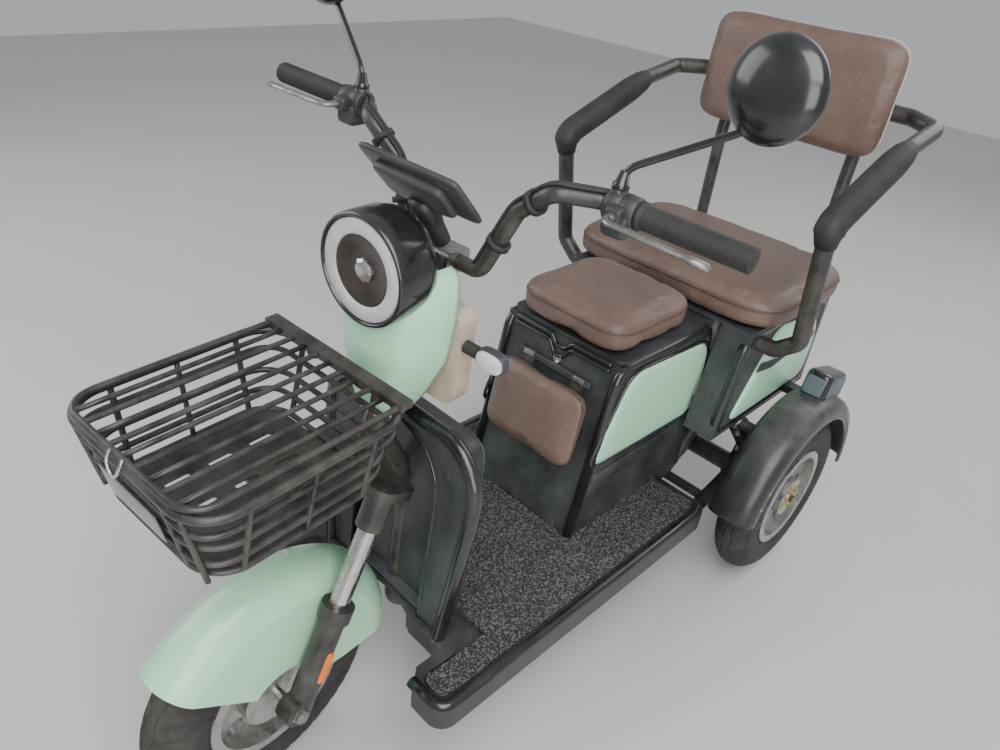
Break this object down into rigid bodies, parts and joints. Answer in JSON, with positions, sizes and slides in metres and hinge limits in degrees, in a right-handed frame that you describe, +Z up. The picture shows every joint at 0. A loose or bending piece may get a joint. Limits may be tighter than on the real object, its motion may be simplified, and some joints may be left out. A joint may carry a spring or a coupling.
{
  "type": "electric three-wheeled scooter",
  "caption": "Three-wheeled leisure scooter with one steered front wheel, wire basket, flat floor, box seat with lid, rear bench, backrest and arm tubes.",
  "frame": {"origin": "middle of the whole vehicle on the floor it stands on", "axes": "+Z up, -Y to the front of the vehicle, +X to the rider's left"},
  "size_m": [0.8077, 1.5128, 1.1922],
  "materials": {
    "tyre": "worn black tread rubber",
    "alloy": "cast and dirty",
    "steel": "plain",
    "chrome": "bright with rust spots",
    "black_metal": "black paint, some rust",
    "mint": "gloss mint green",
    "black_plastic": "moulded black",
    "grey_plastic": "moulded grey",
    "cream": "cream",
    "lens": "clear lens",
    "rubber": "ribbed",
    "mat": "coil mat, speckled grey",
    "vinyl": "brown vinyl"
  },
  "bodies": {
    "frame": {"arm_tubes": "black_metal", "backrest_cushion": "vinyl", "battery": "black_plastic", "bench_cushion": "vinyl", "chassis": "black_metal", "floor_mat": "mat", "floorboard": "black_plastic", "knee_panel": "mint", "leg_shield": "black_plastic", "pad_hinge": "black_metal", "rear_axle": "black_metal", "rear_body": "black_plastic", "rear_body_panels": "mint", "rear_fenders": "black_plastic", "rear_shocks": "black_metal", "seat_box": "black_plastic", "seat_box_panels": "mint", "storage_bin": "grey_plastic", "swing_arm": "black_metal"},
    "steering": {"steering_column": "black_metal", "front_axle": "steel", "fork_sliders": "black_metal", "fork_stanchions": "chrome", "front_fender": "mint", "lamp_bracket": "black_metal", "headlamp_shell": "black_plastic", "headlamp_ring": "grey_plastic", "headlamp_lens": "lens", "mask": "mint", "inner_panel": "cream", "handlebar": "black_metal", "grips": "rubber", "bar_clamp": "steel", "display": "black_plastic", "mirrors": "black_plastic", "switch_housings": "black_plastic", "brake_levers": "steel", "turn_signals": "lens", "basket_frame": "black_metal", "basket_floor": "black_metal", "basket_bracket": "black_metal"},
    "front_wheel": {"front_tyre": "tyre", "front_rim": "alloy"},
    "rear_wheel_left": {"rear_tyre_left": "tyre", "rear_rim_left": "alloy"},
    "rear_wheel_right": {"rear_tyre_right": "tyre", "rear_rim_right": "alloy"},
    "basket_lid": {"basket_lid": "black_metal"},
    "seat_lid": {"seat_lid": "black_plastic", "front_cushion": "vinyl"},
    "front_pad": {"front_pad": "vinyl"}
  },
  "joints": [
    {"name": "steering", "type": "hinge", "parent": "frame", "child": "steering", "pos_m": [0, -0.40237, 0.44776], "axis": [0, 0.4067, 0.9135], "range_deg": [-36.4, 23.6]},
    {"name": "front_wheel_spin", "type": "hinge", "parent": "steering", "child": "front_wheel", "pos_m": [0.00502, -0.56524, 0.19189], "axis": [0.9938, 0.1018, -0.0453], "continuous": true},
    {"name": "rear_wheel_left_spin", "type": "hinge", "parent": "frame", "child": "rear_wheel_left", "pos_m": [0.298, 0.5145, 0.192], "axis": [1, 0, 0], "continuous": true},
    {"name": "rear_wheel_right_spin", "type": "hinge", "parent": "frame", "child": "rear_wheel_right", "pos_m": [-0.298, 0.5145, 0.192], "axis": [1, 0, 0], "continuous": true},
    {"name": "basket_lid_hinge", "type": "hinge", "parent": "steering", "child": "basket_lid", "pos_m": [0.01413, -0.42278, 0.71168], "axis": [-0.9938, -0.1018, 0.0453], "range_deg": [0, 75]},
    {"name": "seat_lid_hinge", "type": "hinge", "parent": "frame", "child": "seat_lid", "pos_m": [0, 0.3345, 0.598], "axis": [-1, 0, 0], "range_deg": [0, 50]},
    {"name": "front_pad_hinge", "type": "hinge", "parent": "frame", "child": "front_pad", "pos_m": [0, 0.03696, 0.532], "axis": [-1, 0, 0], "range_deg": [0, 80]}
  ]
}
